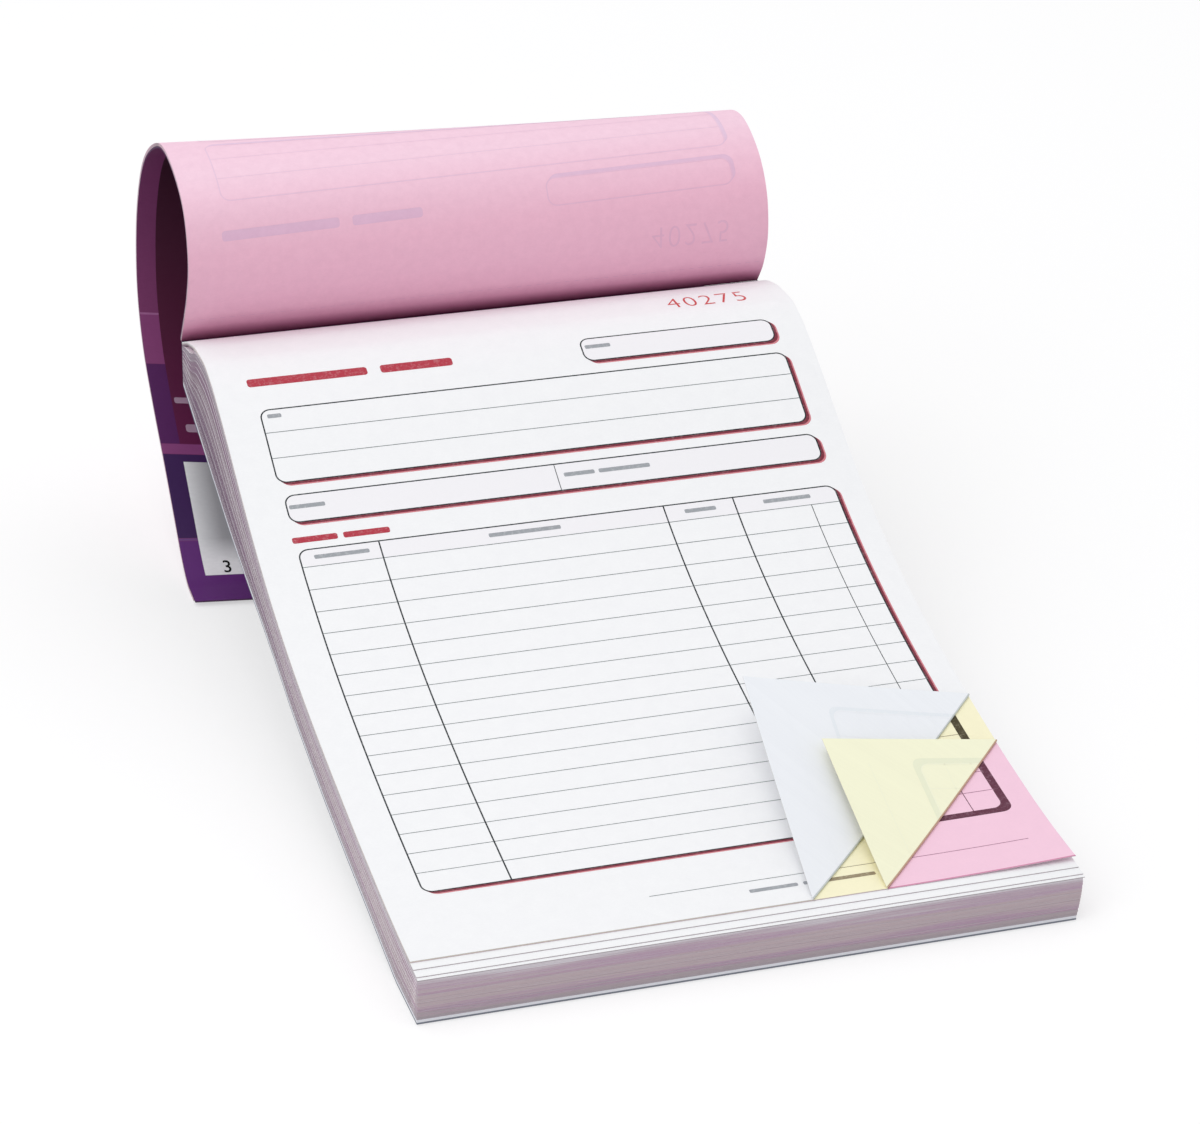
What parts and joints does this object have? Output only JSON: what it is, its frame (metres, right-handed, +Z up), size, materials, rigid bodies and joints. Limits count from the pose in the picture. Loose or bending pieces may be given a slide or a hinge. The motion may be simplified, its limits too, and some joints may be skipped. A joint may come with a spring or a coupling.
{
  "type": "receipt book",
  "caption": "Top-bound book of carbonless order sets, open at a fresh set with two folded corners; its card cover and used pink leaves curl back behind the raised bound edge.",
  "frame": {"origin": "middle of the flat strip under the front of the backing board, on the table", "axes": "+X across the page to the reader's right, +Y from the page's foot to the bound edge, +Z up"},
  "size_m": [0.1443, 0.2508, 0.1011],
  "materials": {
    "board": "matt grey board",
    "tape": "smooth dark strip",
    "set_paper": "matt, uncoated",
    "white_paper": "matt, uncoated",
    "yellow_paper": "matt, uncoated",
    "pink_paper": "matt, uncoated",
    "cover_card": "satin printed card"
  },
  "bodies": {
    "pad": {"backing_board": "board", "binding_tape": "tape", "sets_45_to_50": "set_paper", "sets_40_to_44": "set_paper", "sets_35_to_39": "set_paper", "sets_30_to_34": "set_paper", "sets_25_to_29": "set_paper", "sets_20_to_24": "set_paper", "sets_15_to_19": "set_paper", "sets_10_to_14": "set_paper", "sets_05_to_09": "set_paper", "loose_set_stubs": "white_paper"},
    "white_copy": {"white_leaf": "white_paper"},
    "yellow_copy": {"yellow_leaf": "yellow_paper"},
    "pink_copy": {"pink_leaf": "pink_paper"},
    "second_set": {"set_02": "set_paper"},
    "third_set": {"set_03": "set_paper"},
    "fourth_set": {"set_04": "set_paper"},
    "turned_back": {"used_leaf_1": "pink_paper", "used_leaf_2": "pink_paper", "used_leaf_3": "pink_paper", "used_leaf_4": "pink_paper", "front_cover": "cover_card"}
  },
  "joints": [
    {"name": "white_leaf_turn", "type": "hinge", "parent": "pad", "child": "white_copy", "pos_m": [0, 0.1835, 0.062], "axis": [-1, 0, 0], "range_deg": [0, 90]},
    {"name": "yellow_leaf_turn", "type": "hinge", "parent": "pad", "child": "yellow_copy", "pos_m": [0, 0.1835, 0.062], "axis": [-1, 0, 0], "range_deg": [0, 90]},
    {"name": "pink_leaf_turn", "type": "hinge", "parent": "pad", "child": "pink_copy", "pos_m": [0, 0.1835, 0.062], "axis": [-1, 0, 0], "range_deg": [0, 85.5]},
    {"name": "set_02_turn", "type": "hinge", "parent": "pad", "child": "second_set", "pos_m": [0, 0.1835, 0.062], "axis": [-1, 0, 0], "range_deg": [0, 81]},
    {"name": "set_03_turn", "type": "hinge", "parent": "pad", "child": "third_set", "pos_m": [0, 0.1835, 0.062], "axis": [-1, 0, 0], "range_deg": [0, 76.5]},
    {"name": "set_04_turn", "type": "hinge", "parent": "pad", "child": "fourth_set", "pos_m": [0, 0.1835, 0.062], "axis": [-1, 0, 0], "range_deg": [0, 72]},
    {"name": "cover_turn", "type": "hinge", "parent": "pad", "child": "turned_back", "pos_m": [0, 0.1969, 0.0587], "axis": [1, 0, 0], "range_deg": [-23, 0]}
  ],
  "couplings": [
    {"joint": "yellow_leaf_turn", "follows": "white_leaf_turn", "ratio": 1},
    {"joint": "pink_leaf_turn", "follows": "white_leaf_turn", "ratio": 0.95},
    {"joint": "set_02_turn", "follows": "white_leaf_turn", "ratio": 0.9},
    {"joint": "set_03_turn", "follows": "white_leaf_turn", "ratio": 0.85},
    {"joint": "set_04_turn", "follows": "white_leaf_turn", "ratio": 0.8}
  ]
}
